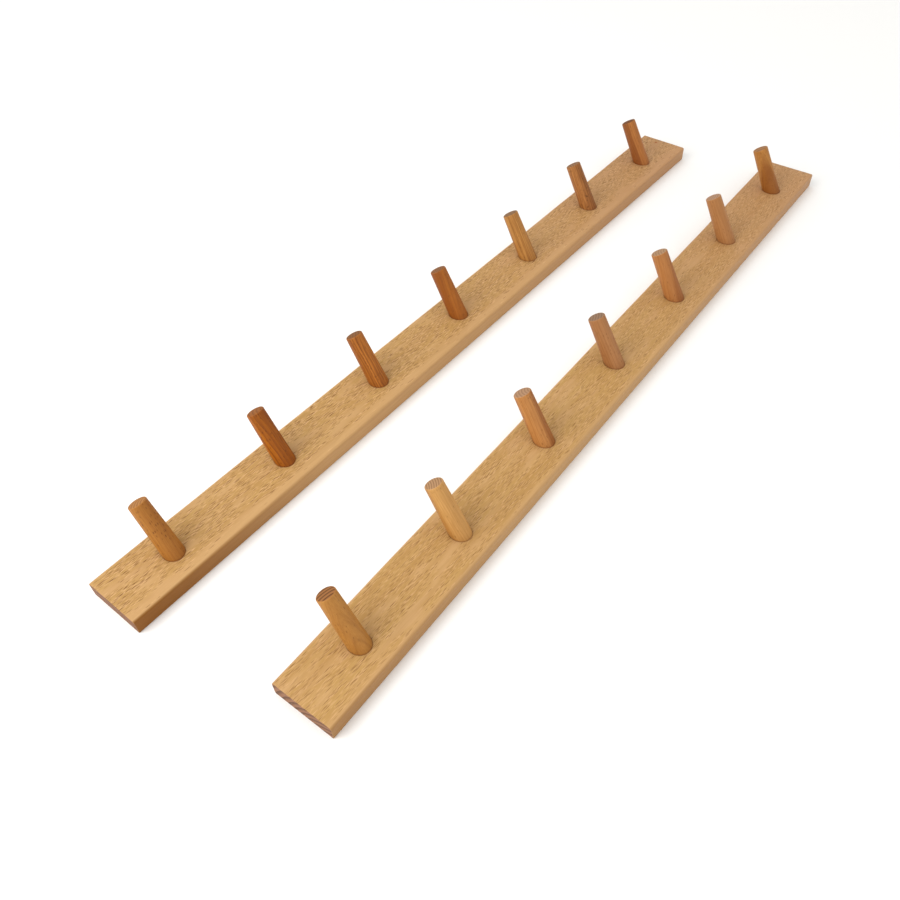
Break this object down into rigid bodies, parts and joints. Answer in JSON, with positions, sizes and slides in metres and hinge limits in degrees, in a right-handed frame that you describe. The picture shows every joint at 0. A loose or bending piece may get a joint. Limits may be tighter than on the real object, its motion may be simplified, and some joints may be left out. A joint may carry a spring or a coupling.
{
  "type": "pair of peg rails",
  "caption": "Two equal wooden rails, each with a row of round tapered pegs that lean one way, for hanging or warping yarn.",
  "frame": {"origin": "centre of the rear rail's back face, the flat face that rests on the table or wall", "axes": "+X along the rear rail, +Y across it towards its rear edge, the way its pegs lean, +Z out of the face that carries the pegs"},
  "size_m": [1.0056, 0.2651, 0.0728],
  "materials": {
    "board_beech": "satin oiled",
    "rear_peg_beech": "satin oiled",
    "front_peg_beech": "satin oiled"
  },
  "bodies": {
    "rear_set": {"rear_rail": "board_beech", "rear_peg_1": "rear_peg_beech", "rear_peg_2": "rear_peg_beech", "rear_peg_3": "rear_peg_beech", "rear_peg_4": "rear_peg_beech", "rear_peg_5": "rear_peg_beech", "rear_peg_6": "rear_peg_beech", "rear_peg_7": "rear_peg_beech"},
    "front_set": {"front_rail": "board_beech", "front_peg_1": "front_peg_beech", "front_peg_2": "front_peg_beech", "front_peg_3": "front_peg_beech", "front_peg_4": "front_peg_beech", "front_peg_5": "front_peg_beech", "front_peg_6": "front_peg_beech", "front_peg_7": "front_peg_beech"}
  },
  "joints": [
    {"name": "rail_spacing", "type": "slide", "parent": "rear_set", "child": "front_set", "axis": [0, -1, 0], "range_m": [-0.09, 0.25]}
  ]
}
